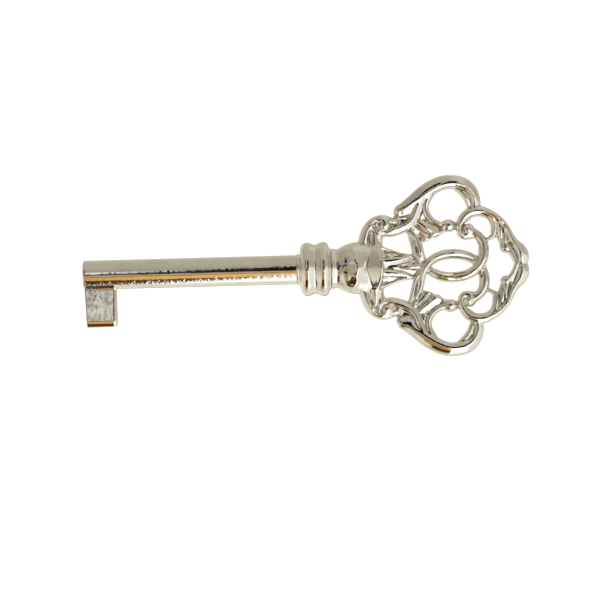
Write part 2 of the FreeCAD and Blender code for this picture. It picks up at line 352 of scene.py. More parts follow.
CURL_GROOVE = [
    (65.9, 7.4, 0.30, 0.30, 0.5, 0),
    (65.1, 6.95, 0.36, 0.36, 1, 0),
    (64.75, 6.3, 0.40, 0.40, 1, 0),
    (64.95, 5.7, 0.34, 0.34, 1, 0),
    (65.5, 5.45, 0.26, 0.26, 0.5, 0),
]
HOOK = [
    (66.8, 5.05, 0.45, 0.50, 1.1, 0),
    (65.7, 4.85, 0.50, 0.50, 1.2, 0),
    (64.8, 4.95, 0.55, 0.50, 1.3, 0),
    (64.3, 5.6, 0.62, 0.50, 1.4, 0),
    (64.3, 6.6, 0.65, 0.70, 1.45, 0),
    (64.55, 7.5, 0.75, 1.10, 1.5, 0),
    (65.2, 8.4, 0.80, 1.15, 1.5, 0),
    (66.2, 9.0, 0.85, 1.00, 1.55, 0),
    (67.5, 9.2, 0.85, 0.95, 1.55, 0),
    (68.8, 8.9, 0.85, 0.95, 1.5, 0),
    (69.7, 8.1, 0.60, 0.85, 1.4, 0),
    (70.15, 7.0, 0.50, 0.78, 1.35, 0),
    (70.25, 5.9, 0.45, 0.75, 1.3, 0),
    (70.0, 4.9, 0.45, 0.60, 1.2, 0),
    (69.2, 4.45, 0.40, 0.40, 1.1, 0),
]
WING_RIM = [
    (68.6, 9.0, 0.75, 0.50, 1.4, 0),
    (70.0, 8.35, 0.75, 0.50, 1.5, 0),
    (71.2, 7.3, 0.78, 0.50, 1.5, 0),
    (72.15, 6.0, 0.78, 0.50, 1.5, 0),
    (72.85, 4.6, 0.82, 0.50, 1.5, 0),
    (73.5, 3.5, 0.95, 0.55, 1.5, 0),
    (74.1, 2.6, 1.30, 0.60, 1.45, 0),
    (74.45, 1.6, 1.55, 0.60, 1.45, 0),
    (74.5, 0.75, 1.50, 0.60, 1.4, 0),
]
WING_FILL = [
    (70.6, 7.7, 0.70, 0.70, 1.25, 0),
    (71.3, 6.0, 1.05, 1.05, 1.35, 0),
    (71.7, 4.5, 1.10, 1.10, 1.3, 0),
    (72.1, 3.2, 1.00, 1.00, 1.2, 0),
]
WING_GROOVES = [
    [
        (70.5, 7.3, 0.26, 0.26, 0.7, 0),
        (70.75, 6.2, 0.30, 0.30, 1, 0),
        (70.8, 5.2, 0.26, 0.26, 0.7, 0),
    ],
    [
        (70.9, 7.4, 0.28, 0.28, 0.7, 0),
        (71.4, 6.0, 0.34, 0.34, 1, 0),
        (71.5, 4.6, 0.30, 0.30, 1, 0),
        (71.3, 3.7, 0.24, 0.24, 0.6, 0),
    ],
    [
        (71.6, 7.0, 0.28, 0.28, 0.7, 0),
        (72.2, 5.6, 0.34, 0.34, 1, 0),
        (72.4, 4.3, 0.32, 0.32, 1, 0),
        (72.6, 3.4, 0.30, 0.30, 1, 0),
    ],
]
WING_LOBE = [
    (71.85, 2.8, 0.88, 0.88, 1.3, 0),
    (72.1, 2.75, 0.88, 0.88, 1.3, 0),
]
TIP_FILL = [
    (73.1, 2.6, 0.70, 0.80, 1.0, 0),
    (73.8, 1.6, 0.70, 0.80, 0.95, 0),
    (74.2, 0.6, 0.70, 0.80, 0.9, 0),
]
TIP_RIB = [
    (72.6, 2.3, 0.48, 0.48, 1.2, 0),
    (73.2, 1.5, 0.48, 0.48, 1.2, 0),
    (73.6, 0.7, 0.48, 0.48, 1.2, 0),
    (73.9, 0.0, 0.48, 0.48, 1.2, 0),
]
LEAF = [
    (63.8, 13.0, 0.35, 0.35, 1.0, 0),
    (64.8, 12.4, 0.50, 0.60, 1.15, 0),
    (65.5, 11.4, 0.45, 0.55, 1.15, 0),
    (65.9, 10.2, 0.40, 0.45, 1.0, 0),
]
LEAF_FILL = [
    (64.6, 13.0, 0.6, 0.6, 0.9, 0),
    (65.7, 11.9, 0.9, 0.9, 0.9, 0),
    (66.3, 10.4, 0.7, 0.7, 0.9, 0),
]
BROAD_LEAF = [
    (50.7, 0.80, 1.90, 0.38, 1.45, 0),
    (52.4, 0.86, 1.70, 0.36, 1.42, 0),
    (54.0, 1.10, 1.05, 0.34, 1.35, 0),
    (55.4, 1.55, 0.45, 0.30, 1.15, 0),
]
LEAF_SPLIT = [
    (51.1, 1.65, 0.26, 0.26, 1, 0),
    (52.2, 1.75, 0.26, 0.26, 1, 0),
    (53.4, 1.85, 0.22, 0.22, 0.8, 0),
    (54.6, 1.85, 0.18, 0.18, 0.5, 0),
]
PALMETTE_RIM = [
    (50.9, 3.30, 0.36, 0.36, 1.2, 0),
    (52.3, 2.80, 0.28, 0.28, 0.95, 0),
    (54.2, 2.15, 0.28, 0.28, 0.95, 0),
    (56.4, 1.75, 0.30, 0.30, 1.0, 0),
]
RAY_FILL = [
    (50.6, 0.6, 2.5, 1.8, 1.25, 0),
    (52.8, 0.5, 2.0, 1.5, 1.0, 0),
    (55.2, 0.4, 1.4, 1.2, 0.75, 0),
    (57.4, 0.3, 0.8, 0.8, 0.7, 0),
]
MIDDLE_RAY = [
    (52.6, 0, 0.22, 0.22, 0.95, 0),
    (53.8, 0, 0.36, 0.36, 1.15, 0),
    (55.3, 0, 0.62, 0.62, 1.4, 0),
    (56.7, 0, 0.68, 0.68, 1.4, 0),
    (58.0, 0, 0.55, 0.55, 1.25, 0),
]

# Bow neck and bud: (x, radius across the bow, half thickness).
BUD = [
    (42.20, 3.60, 3.60),
    (42.58, 3.42, 3.42),
    (43.28, 3.33, 3.26),
    (43.98, 3.70, 3.38),
    (44.88, 4.10, 3.57),
    (45.88, 4.36, 3.79),
    (46.55, 4.42, 3.94),
    (46.95, 4.42, 3.98),
    (47.25, 4.41, 3.68),
    (47.60, 4.38, 3.30),
    (47.95, 4.35, 2.93),
    (48.04, 4.34, 2.88),
    (48.14, 4.34, 2.93),
    (49.48, 4.32, 3.42),
    (50.28, 4.33, 3.71),
    (50.88, 4.35, 3.91),
]
BUD_END = 51.0
BUD_END_CURVE = 0.05
BUD_END_ROUND = 0.35
# The bud's ridge and the valley behind it: where each crosses the axis, and how far it moves
# along X for each millimetre across.
BUD_RIDGE = 46.95
RIDGE_SWEEP = -0.31
BUD_VALLEY = 48.0
VALLEY_SWEEP = 0.33
# Lines raised or sunk on the bud's upper half: (x, y, width, width, strength, 0).
BUD_CURL = [
    (44.4, 0.9, 0.40, 0.40, 0.5, 0),
    (44.5, 2.1, 0.42, 0.42, 1, 0),
    (45.1, 3.05, 0.42, 0.42, 1, 0),
    (46.0, 3.15, 0.42, 0.42, 1, 0),
    (46.6, 2.4, 0.42, 0.42, 1, 0),
    (46.4, 1.5, 0.40, 0.40, 1, 0),
    (45.6, 1.35, 0.36, 0.36, 0.8, 0),
    (45.35, 2.0, 0.30, 0.30, 0.5, 0),
]
BUD_GROOVE = [
    (44.0, 0.5, 0.40, 0.40, 0.4, 0),
    (45.0, 0.55, 0.40, 0.40, 1, 0),
    (46.4, 0.5, 0.36, 0.36, 1, 0),
]

# Colours of the plate and of the painted shade in its hollows, which stands in for the shade that
# falls in creases and between parts.
NICKEL = (0.80, 0.78, 0.73)
HOLLOW_SHADE = (0.30, 0.24, 0.17)
SCRATCH_DEPTH = 0.01
# The plate is rubbed smooth on the outer part of the bow's lower ear, past this place on Y.
EAR_RUBBED = -9.0

# The room round the key, as it shows in the plate: (rise, display colour of 0 to 255). The
# rise is the angle from straight up, in degrees: towards +Y, or towards -Y where negative.
CEILING = [
    (28, (160, 154, 136)),
    (60, (170, 164, 144)),
    (95, (172, 165, 144)),
    (130, (182, 176, 154)),
    (179, (194, 189, 170)),
]
LEFT_WALL = [
    (-180, (222, 217, 203)),
    (-130, (216, 208, 187)),
    (-95, (205, 198, 176)),
    (-60, (222, 214, 192)),
    (-20, (190, 184, 165)),
    (5, (160, 156, 140)),
]
DARK_STRIP = [
    (-180, (222, 217, 203)),
    (-130, (216, 208, 187)),
    (-105, (190, 180, 158)),
    (-88, (150, 130, 100)),
    (-78, (64, 44, 28)),
    (-50, (84, 54, 28)),
    (-44, (222, 170, 84)),
    (-24, (224, 168, 84)),
    (-19.5, (140, 104, 62)),
    (-15, (166, 153, 130)),
    (-9, (156, 146, 124)),
    (0, (146, 140, 122)),
    (18, (150, 147, 132)),
]
RIGHT_WALL = [
    (-180, (176, 170, 152)),
    (-150, (190, 183, 165)),
    (-130, (228, 219, 197)),
    (-105, (212, 206, 188)),
    (-88, (262, 261, 256)),
    (-5, (266, 265, 260)),
    (6, (190, 184, 166)),
    (14, (176, 171, 155)),
]
SIDES = (216, 210, 192)
LAMP = (226, 221, 206)
GLOW = (206, 150, 84)
CAMERA = (24, 20, 15)

# The strip's edges towards the left and the right wall: (side, side per degree of rise, fade).
# The side is the angle out of the YZ plane, in degrees, towards +X.
STRIP_LEFT = (-23, 0.09, 3)
STRIP_RIGHT = (3.4, 0.08, 1)

# Soft patches over the room: (lowest and highest side, fade), (lowest and highest rise, fade),
# strength, display colour. Later ones lie over earlier ones.
PATCHES = [
    ((36, 200, 12), (-180, 6, 12), 0.8, SIDES),
    ((9, 26, 6), (30, 120, 12), 0.3, LAMP),
    ((-42, -30, 6), (10, 120, 12), 0.2, CAMERA),
    ((-7, -4.2, 1), (6, 18, 2), 1, LAMP),
    ((-26, -7, 3), (-60, -24, 5), 0.45, CAMERA),
    ((-1, 10, 3), (-7.5, -5.5, 1.5), 1, GLOW),
]

# The dark camera over the key: (lowest and highest side, fade) of what it spans and of a
# strong band in it, its lower edge, its upper edge in that band, and how both edges fade.
CAMERA_SPAN = (-20, 12, 3)
CAMERA_BAND = (-20, -8, 1)
CAMERA_LOW = -4
CAMERA_TOP = 38
CAMERA_FADE = 2.5


def smooth_line(rows, spacing):
    """Even points along a centripetal Catmull-Rom curve through the rows."""
    rows = np.array(rows, float)
    ends = np.vstack([2 * rows[0] - rows[1], rows, 2 * rows[-1] - rows[-2]])
    out = []
    for p0, p1, p2, p3 in zip(ends, ends[1:], ends[2:], ends[3:]):
        k0, k1, k2 = (max(np.linalg.norm((b - a)[:2]), 1e-6) ** 0.5
                      for a, b in ((p0, p1), (p1, p2), (p2, p3)))
        m1 = k1 * ((p1 - p0) / k0 - (p2 - p0) / (k0 + k1) + (p2 - p1) / k1)
        m2 = k1 * ((p2 - p1) / k1 - (p3 - p1) / (k1 + k2) + (p3 - p2) / k2)
        count = max(2, math.ceil(k1 * k1 / spacing))
        t = np.linspace(0, 1, count, endpoint=False)[:, None]
        out.append((2 * t**3 - 3 * t**2 + 1) * p1 + (t**3 - 2 * t**2 + t) * m1
                   + (3 * t**2 - 2 * t**3) * p2 + (t**3 - t**2) * m2)
    return np.vstack(out + [rows[-1:]])


def mirrored(rows):
    """The same rib in the lower half. The crest line's height changes sign, as if turned over."""
    return [(x, -y, right, left, half, -z) for x, y, left, right, half, z in rows]


def blended_min(a, b, blend):
    """The smaller of two distances, with a fillet of about the blend's size."""
    h = np.clip(0.5 + 0.5 * (b - a) / blend, 0, 1)
    return b + (a - b) * h - blend * h * (1 - h)


def blended_max(a, b, blend):
    """The larger of two distances, with a rounded edge of about the blend's size."""
    return -blended_min(-a, -b, blend)


def rising(value, centre, width):
    """A smooth step from 0 to 1 about the centre."""
    return 1 / (1 + np.exp((centre - value) / width))


class Clay:
    """A solid held as signed distances, in millimetres, on a regular grid."""

    def __init__(self, low, high, step):
        self.low = np.array(low, float)
        self.step = step
        self.axes = [np.arange(a, b + step, step) for a, b in zip(low, high)]
        self.value = np.full([len(a) for a in self.axes], FAR)

    def window(self, low, high):
        """Slices and coordinates of the grid between two corners."""
        slices = []
        for axis, a, b in zip(self.axes, low, high):
            first = np.searchsorted(axis, a)
            last = np.searchsorted(axis, b)
            slices.append(slice(first, last))
        x, y, z = (axis[s] for axis, s in zip(self.axes, slices))
        return tuple(slices), x[:, None, None], y[None, :, None], z[None, None, :]

    def join(self, where, distance, blend):
        """Add a shape, given as distances in a window of the grid."""
        self.value[where] = blended_min(self.value[where], distance, blend)

    def soften(self):
        """Average each value with its neighbours, which rounds every edge and groove a little."""
        for axis in range(3):
            ahead = np.roll(self.value, -1, axis)
            behind = np.roll(self.value, 1, axis)
            self.value = (ahead + behind) / 4 + self.value / 2

    def add_rib(self, rows, blend):
        """Add a rib of oval section along the rows."""
        line = smooth_line(rows, LINE_STEP)
        room = line[:, 2:4].max() + blend + RIB_MARGIN
        tall = (line[:, 4] + abs(line[:, 5])).max() + blend + RIB_MARGIN
        low = (line[:, 0].min() - room, line[:, 1].min() - room, -tall)
        high = (line[:, 0].max() + room, line[:, 1].max() + room, tall)
        where, x, y, z = self.window(low, high)
        across, wide, half, crest = rib_columns(line, x[:, :, 0], y[:, :, 0])
        u = (across / wide)[:, :, None]
        v = (z - crest[:, :, None]) / half[:, :, None]
        self.join(where, oval_distance(u, v, wide[:, :, None], half[:, :, None]), blend)

    def engrave(self, rows, depth):
        """Sink a groove of the rows' widths, or raise a bead when the depth is negative. In
        these rows, the fifth number scales the depth."""
        line = smooth_line(rows, LINE_STEP)
        room = line[:, 2].max() + GROOVE_MARGIN
        low = (line[:, 0].min() - room, line[:, 1].min() - room, -FAR)
        high = (line[:, 0].max() + room, line[:, 1].max() + room, FAR)
        where, x, y, _ = self.window(low, high)
        across, wide, scale, _ = rib_columns(line, x[:, :, 0], y[:, :, 0])
        fall = np.clip(1 - (across / wide) ** 2, 0, 1) ** 2 * scale
        self.value[where] += depth * fall[:, :, None]


def oval_distance(u, v, a, b):
    """About the distance to an oval of half sizes a and b, where u and v are in those units."""
    k0 = np.sqrt(u * u + v * v)
    k1 = np.sqrt((u / a) ** 2 + (v / b) ** 2)
    return k0 * (k0 - 1) / np.maximum(k1, 1e-6)


def rib_columns(line, x, y):
    """For each column of the grid: distance to the line, and the line's sizes there."""
    shape = np.broadcast(x, y).shape
    points = np.stack([np.broadcast_to(x, shape).ravel(), np.broadcast_to(y, shape).ravel()], 1)
    best = np.full(len(points), np.inf)
    out = np.zeros((len(points), 4))
    starts, ends = line[:-1], line[1:]
    step = ends - starts
    length2 = (step[:, :2] ** 2).sum(1)
    for k in range(len(starts)):
        d = points - starts[k, :2]
        t = np.clip(d @ step[k, :2] / length2[k], 0, 1)
        away = d - t[:, None] * step[k, :2]
        far = np.hypot(away[:, 0], away[:, 1])
        near = far < best
        best[near] = far[near]
        row = starts[k] + t[near, None] * step[k]
        cross = step[k, 0] * away[near, 1] - step[k, 1] * away[near, 0]
        side = cross / np.maximum(far[near] * length2[k] ** 0.5, 1e-9)
        wide = (row[:, 2] + row[:, 3]) / 2 + side * (row[:, 2] - row[:, 3]) / 2
        out[near] = np.stack([far[near], wide, row[:, 4], row[:, 5]], 1)
    return [out[:, k].reshape(shape) for k in range(4)]


def add_bud(clay):
    """The bow's neck and bud. The rows' heights are bent along the ridge and the valley, which
    run across the bud as two shallow Vs."""
    rows = np.array([(x, 0, a, a, b, 0) for x, a, b in BUD], float)
    line = smooth_line(rows, BUD_STEP)
    start = BOW_LOW[0]
    where, x, y, z = clay.window((start - 1, -5.5, -4.6), (BUD_END + 0.8, 5.5, 4.6))
    ridge = BUD_RIDGE + RIDGE_SWEEP * abs(y)
    valley = BUD_VALLEY + VALLEY_SWEEP * abs(y)
    before = start + (x - start) * (BUD_RIDGE - start) / (ridge - start)
    between = BUD_RIDGE + (x - ridge) * (BUD_VALLEY - BUD_RIDGE) / (valley - ridge)
    after = BUD_END + (x - BUD_END) * (BUD_END - BUD_VALLEY) / (BUD_END - valley)
    u = np.where(x < ridge, before, np.where(x < valley, between, after))
    a = np.interp(x, line[:, 0], line[:, 2])
    b = np.interp(u, line[:, 0], line[:, 4])
    body = oval_distance(y / a, z / b, a, b)
    front = x + BUD_END_CURVE * y * y - BUD_END
    body = blended_max(body, front, BUD_END_ROUND)
    clay.join(where, np.maximum(body, start - x), 0.25)


def fine_noise(places, scale, seed):
    """Smooth random values, about -2 to 2, that vary over the scale in millimetres."""
    grid = np.random.default_rng(seed).standard_normal([NOISE_CELLS] * 3)
    spots = (places / scale) % (NOISE_CELLS - 2)
    near = np.floor(spots)
    part = spots - near
    return sample(grid, near + part * part * (3 - 2 * part))


def lathe(name, profile, relief, closed=False):
    """A mesh turned about X from (x, radius) rows. The relief moves vertices outwards. A closed
    profile joins its last row to its first."""
    count = TURN_POINTS
    rows = np.array(profile, float)
    turn = np.linspace(0, 2 * math.pi, count, endpoint=False)
    x = np.repeat(rows[:, 0], count)
    r = np.repeat(rows[:, 1], count)
    angle = np.tile(turn, len(rows))
    places = np.stack([x, r * np.cos(angle), r * np.sin(angle)], 1)
    r = r + relief(places, angle)
    places[:, 1] = r * np.cos(angle)
    places[:, 2] = r * np.sin(angle)
    last = len(rows) if closed else len(rows) - 1
    i, j = np.meshgrid(np.arange(last), np.arange(count), indexing="ij")
    a = i * count + j
    b = i * count + (j + 1) % count
    step = (i + 1) % len(rows) * count - i * count
    faces = np.stack([a, a + step, b + step, b], -1).reshape(-1, 4)
    return mesh_object(name, places, faces)


def dense(profile, step):
    """The profile's straight segments cut into pieces no longer than the step."""
    out = []
    for (x0, r0), (x1, r1) in zip(profile, profile[1:]):
        count = max(1, math.ceil(math.hypot(x1 - x0, r1 - r0) / step))
        for k in range(count):
            out.append((x0 + (x1 - x0) * k / count, r0 + (r1 - r0) * k / count))
    return out + [profile[-1]]


def shank_relief(places, angle):
    """Fine pits in a band on the -Y side, fewer towards the collar, and faint waves all round."""
    outside = np.hypot(places[:, 1], places[:, 2]) > SHANK_R - 0.3
    band = np.exp(-((np.degrees(angle) - PIT_ANGLE) / PIT_WIDTH) ** 2)
    worn = 1 - 0.8 * rising(places[:, 0], PIT_END, 4)
    pits = fine_noise(places, 0.19, 3) + 0.8 * fine_noise(places, 0.12, 4)
    waves = fine_noise(places, 0.45, 5) + 0.8 * fine_noise(places * (0.2, 1, 1), 0.35, 6)
    return outside * (PIT_HEIGHT * band * worn * pits + WAVE_HEIGHT * waves)


def make_shank():
    """The drilled bar with its rounded tip, and the tenon that the collar and bow sit on."""
    tip = [(TIP_ROUND * (1 - math.cos(a)), SHANK_R - TIP_ROUND * (1 - math.sin(a)))
           for a in np.linspace(0, math.pi / 2, 7)]
    outer = dense([tip[-1], (SHANK_END, SHANK_R)], SHANK_ROW)
    bore = [(BORE_DEPTH + DRILL_POINT, NEAR_AXIS), (BORE_DEPTH, BORE_R),
            (BORE_CHAMFER, BORE_R), (0, BORE_R + BORE_CHAMFER)]
    tenon = [(SHANK_END, TENON_R), (SHANK_HIGH[0], TENON_R), (SHANK_HIGH[0], NEAR_AXIS)]
    return lathe("shank_bar", bore + tip + outer[1:] + tenon, shank_relief)


def collar_relief(places, _):
    """Turning marks that run round the collar, and shallow dents."""
    outside = np.hypot(places[:, 1], places[:, 2]) > SHANK_R + 0.1
    marks = fine_noise(places * (1, 0.03, 0.03), 0.35, 7)
    dents = fine_noise(places, 0.8, 8)
    return outside * (MARK_HEIGHT * marks + DENT_HEIGHT * dents)


def make_collar():
    """The lip and the two beads, bored for the shank's end and then for its tenon."""
    line = smooth_line([(x, r, 0, 0) for x, r in COLLAR_PROFILE], COLLAR_ROW)
    outer = [(x, r) for x, r in line[:, :2]]
    inner = [(COLLAR_HIGH[0], TENON_R), (SHANK_END, TENON_R), (SHANK_END, SHANK_R),
             (COLLAR_LOW[0], SHANK_R)]
    return lathe("collar_beads", outer + inner, collar_relief, closed=True)


def bit_side(ends, y):
    """A side of the bit: its place along X, on the straight line from the axis to the edge."""
    foot, edge = ends
    return foot + (edge - foot) * -y / BIT_REACH


def make_bit():
    """The flag with leaning faces, sloped in at the outer edge, and a fillet round its foot."""
    clay = Clay((-0.4, -9.5, -1.9), (7.2, -1.0, 1.9), BIT_GRID)
    where, x, y, z = clay.window((-FAR, -FAR * 2, -FAR), (FAR, FAR, FAR))
    faces = abs(z) - BIT_HALF + BIT_LEAN * (y + SHANK_R)
    sloped = np.hypot(np.minimum(y - SLOPE_START, 0), abs(z) + SLOPE_SINK) - SLOPE_R
    shape = blended_max(faces, sloped, SLOPE_ROUND)
    shape = blended_max(shape, -(BIT_REACH + y), REACH_ROUND)
    shape = blended_max(shape, x - bit_side(BIT_RIGHT, y), RIGHT_ROUND)
    shape = blended_max(shape, bit_side(BIT_LEFT, y) - x, LEFT_ROUND)
    axle = np.hypot(y, z)
    stretch = np.maximum(FILLET_START - x, x - FILLET_END)
    bar = np.maximum(axle - SHANK_R + FILLET_SINK, stretch)
    shape = blended_min(shape, bar, FILLET_ROUND)
    shape = shape + bit_dents(x, y, z)
    shape = np.maximum(shape, np.maximum(SHANK_R - BIT_SUNK - axle, y - BIT_TOP))
    clay.join(where, shape, 0.01)
    return cast(clay, "bit_flag")


def bit_dents(x, y, z):
    """The unevenness of the bit's faces: strongest in one patch, and none on the outer edge."""
    places = np.stack(np.broadcast_arrays(x, y, z), -1)
    shape = places.shape[:3]
    places = places.reshape(-1, 3) * (1, 1, 0.3)
    patch = np.exp(-((x - 2.2) / 1.8) ** 2 - ((y + 3.6) / 1.5) ** 2)
    coarse = fine_noise(places, 0.7, 11).reshape(shape)
    fine = fine_noise(places, 0.32, 12).reshape(shape)
    return rising(y, -7.7, 0.08) * (0.0012 * coarse + (0.0005 + 0.0018 * patch) * fine)


CELL_CORNERS = [(i, j, k) for i in (0, 1) for j in (0, 1) for k in (0, 1)]


def surface_nets(value):
    """Vertices, in grid units, and quads of the surface where the value is zero."""
    inside = value < 0
    size = np.array(value.shape) - 1
    count = np.zeros(size, np.int8)
    for i, j, k in CELL_CORNERS:
        count += inside[i:i + size[0], j:j + size[1], k:k + size[2]]
    cells = np.argwhere((count > 0) & (count < 8))
    index = np.full(size, -1)
    index[tuple(cells.T)] = np.arange(len(cells))
    total = np.zeros((len(cells), 3))
    crossings = np.zeros(len(cells))
    for axis in range(3):
        others = [a for a in range(3) if a != axis]
        for p, q in ((0, 0), (0, 1), (1, 0), (1, 1)):
            start = cells.copy()
            start[:, others[0]] += p
            start[:, others[1]] += q
            stop = start.copy()
            stop[:, axis] += 1
            v0 = value[tuple(start.T)]
            v1 = value[tuple(stop.T)]
            cut = (v0 < 0) != (v1 < 0)
            t = v0[cut] / (v0[cut] - v1[cut])
            place = start[cut].astype(float)
            place[:, axis] += t
            total[cut] += place
            crossings[cut] += 1
    vertices = total / crossings[:, None]
    quads = []
    for axis in range(3):
        b, c = (axis + 1) % 3, (axis + 2) % 3
        low = [slice(1, -1)] * 3
        low[axis] = slice(0, -1)
        high = list(low)
        high[axis] = slice(1, None)
        a_in = inside[tuple(low)]
        b_in = inside[tuple(high)]
        edges = np.argwhere(a_in != b_in)
        flip = ~a_in[tuple(edges.T)]
        corner = edges + 1
        corner[:, axis] -= 1
        ring = []
        for db, dc in ((-1, -1), (0, -1), (0, 0), (-1, 0)):
            cell = corner.copy()
            cell[:, b] += db
            cell[:, c] += dc
            ring.append(index[tuple(cell.T)])
        ring = np.stack(ring, 1)
        ring[flip] = ring[flip][:, ::-1]
        quads.append(ring)
    return vertices, np.vstack(quads)


def sample(value, places):
    """Trilinear value of the grid at fractional places."""
    base = np.clip(np.floor(places).astype(int), 0, np.array(value.shape) - 2)
    f = places - base
    out = np.zeros(len(places))
    for i, j, k in CELL_CORNERS:
        weight = (np.where(i, f[:, 0], 1 - f[:, 0]) * np.where(j, f[:, 1], 1 - f[:, 1])
                  * np.where(k, f[:, 2], 1 - f[:, 2]))
        out += weight * value[base[:, 0] + i, base[:, 1] + j, base[:, 2] + k]
    return out


def mesh_object(name, vertices, faces):
    """A smooth-shaded object from vertices in millimetres."""
    mesh = bpy.data.meshes.new(name)
    mesh.from_pydata((vertices * MM).tolist(), [], faces.tolist())
    mesh.validate()
    mesh.polygons.foreach_set("use_smooth", np.ones(len(mesh.polygons), bool))
    mesh.update()
    piece = bpy.data.objects.new(name, mesh)
    bpy.context.collection.objects.link(piece)
    return piece


def cast(clay, name, skin=None):
    """Turn the clay into a mesh whose vertices lie on its surface. The skin moves them outwards."""
    vertices, quads = surface_nets(clay.value)
    for _ in range(2):
        value = sample(clay.value, vertices)
        slope = np.stack([sample(clay.value, vertices + d) - sample(clay.value, vertices - d)
                          for d in np.eye(3) * 0.5], 1)
        move = value[:, None] * slope / np.maximum((slope**2).sum(1), 1e-9)[:, None]
        vertices -= np.clip(move, -0.5, 0.5)
    places = clay.low + vertices * clay.step
    if skin is not None:
        outward = slope / np.maximum(np.linalg.norm(slope, axis=1), 1e-9)[:, None]
        places = places + outward * skin(places)[:, None]
    return mesh_object(name, places, quads)


def bow_skin(places):
    """The unevenness of the casting, with a frosted band round the bud's end."""
    x, y, _ = places.T
    past_valley = rising(x, BUD_VALLEY + VALLEY_SWEEP * abs(y), 0.1)
    before_end = 1 - rising(x, BUD_END + 0.05, 0.05)
    frost = past_valley * before_end * (abs(y) < 3.9)
    even = 0.008 * fine_noise(places, 1.1, 1) + 0.003 * fine_noise(places, 0.4, 2)
    return even + 0.006 * frost * fine_noise(places, 0.27, 9)


def make_bow():
    """The openwork casting: the bud, then each half's webs, ribs and grooves."""
    clay = Clay((BOW_LOW[0] - 0.5, BOW_LOW[1] - 0.6, -4.2),
                (BOW_HIGH[0] + 0.6, BOW_HIGH[1] + 0.6, 4.2), BOW_GRID)
    webs = [SHOULDER_FILL, TROUGH, EAR_SLOPE, RING_FILL, FAN_FILL, RAY_FILL,
            WING_FILL, TIP_FILL, LEAF_FILL]
    ribs = [EAR_RIM, SHOULDER, VOLUTE_EYE, STEM, EAR_LIP, RING, FAN_SLOPE, FAN_PLATE, FAN_EDGE,
            KNUCKLE, LEFT_RIB, SCROLL, CURL_EYE, HOOK, WING_RIM, WING_LOBE, TIP_RIB, LEAF,
            PALMETTE_RIM]
    grooves = [(rows, 0.3) for rows in SHOULDER_GROOVES + FAN_GROOVES + WING_GROOVES]
    grooves += [(VOLUTE_GROOVE, 0.3), (VOLUTE_PIT, 0.5), (LEAF_SPLIT, 0.35), (SCROLL_LINE, 0.1),
                (CURL_GROOVE, 0.5), (BUD_CURL, -0.15), (BUD_GROOVE, 0.1)]
    add_bud(clay)
    for turn in (list, mirrored):
        for rows in webs:
            clay.add_rib(turn(rows), WEB_BLEND)
        for rows in ribs:
            clay.add_rib(turn(rows), RIB_BLEND)
        clay.add_rib(turn(BROAD_LEAF), LEAF_BLEND)
        for rows, depth in grooves:
            clay.engrave(turn(rows), depth)
    clay.add_rib(MIDDLE_RAY, WEB_BLEND)
    clay.soften()
    return cast(clay, "bow_casting", bow_skin)


class Graph:
    """A node tree, with short ways to add nodes to it and join them."""

    def __init__(self, owner):
        owner.use_nodes = True
        self.nodes = owner.node_tree.nodes
        self.links = owner.node_tree.links

    def feed(self, socket, value):
        """Give a socket a number, a colour or another node's output."""
        if isinstance(value, (int, float)):
            socket.default_value = value
        elif isinstance(value, tuple):
            socket.default_value = (*value, 1)
        else:
            self.links.new(value, socket)

    def calc(self, operation, *values):
        """The result of one operation on numbers and other nodes' outputs."""
        node = self.nodes.new("ShaderNodeMath")
        node.operation = operation
        for socket, value in zip(node.inputs, values):
            self.feed(socket, value)
        return node.outputs[0]

    def limit(self, value, low, high):
        """The value, held between low and high."""
        return self.calc("MINIMUM", self.calc("MAXIMUM", value, low), high)

    def split(self, vector):
        """A vector's X, Y and Z."""
        node = self.nodes.new("ShaderNodeSeparateXYZ")
        self.links.new(vector, node.inputs[0])
        return node.outputs

    def spread(self, source, low, high, out_low=0, out_high=1, fade="LINEAR"):
        """Map the range from low to high onto another. Values past it stay at its ends."""
        node = self.nodes.new("ShaderNodeMapRange")
        node.interpolation_type = fade
        node.inputs["From Min"].default_value = low
        node.inputs["From Max"].default_value = high
        node.inputs["To Min"].default_value = out_low
        node.inputs["To Max"].default_value = out_high
        self.links.new(source, node.inputs["Value"])
        return node.outputs["Result"]

    def noise(self, place, scale, detail, squash=(1, 1, 1)):
        """Smooth random values, drawn out along each axis whose squash is small."""
        mapping = self.nodes.new("ShaderNodeMapping")
        mapping.inputs["Scale"].default_value = squash
        self.links.new(place, mapping.inputs["Vector"])
        node = self.nodes.new("ShaderNodeTexNoise")
        node.inputs["Scale"].default_value = scale
        node.inputs["Detail"].default_value = detail
        self.links.new(mapping.outputs["Vector"], node.inputs["Vector"])
        return node.outputs["Fac"]

    def mix(self, factor, a, b):
        """A blend of two colours: a where the factor is 0, and b where it is 1."""
        node = self.nodes.new("ShaderNodeMix")
        node.data_type = "RGBA"
        for name, value in (("Factor", factor), ("A", a), ("B", b)):
            self.feed(node.inputs[name], value)
        return node.outputs["Result"]

    def window(self, value, low, high, soft):
        """One between low and high, fading to nought over the soft width outside them."""
        up = self.calc("DIVIDE", self.calc("SUBTRACT", value, low), soft)
        down = self.calc("DIVIDE", self.calc("SUBTRACT", high, value), soft)
        return self.limit(self.calc("ADD", self.calc("MINIMUM", up, down), 1), 0, 1)

    def ramp(self, degrees, stops):
        """A colour that follows an angle through stops of (degrees, display colour)."""
        node = self.nodes.new("ShaderNodeValToRGB")
        bar = node.color_ramp
        while len(bar.elements) < len(stops):
            bar.elements.new(0.5)
        for element, (angle, _) in zip(bar.elements, stops):
            element.position = (angle + 180) / 360
        for element, (_, colour) in zip(bar.elements, stops):
            element.color = (*light_for(colour), 1)
        self.links.new(self.spread(degrees, -180, 180), node.inputs["Fac"])
        return node.outputs["Color"]


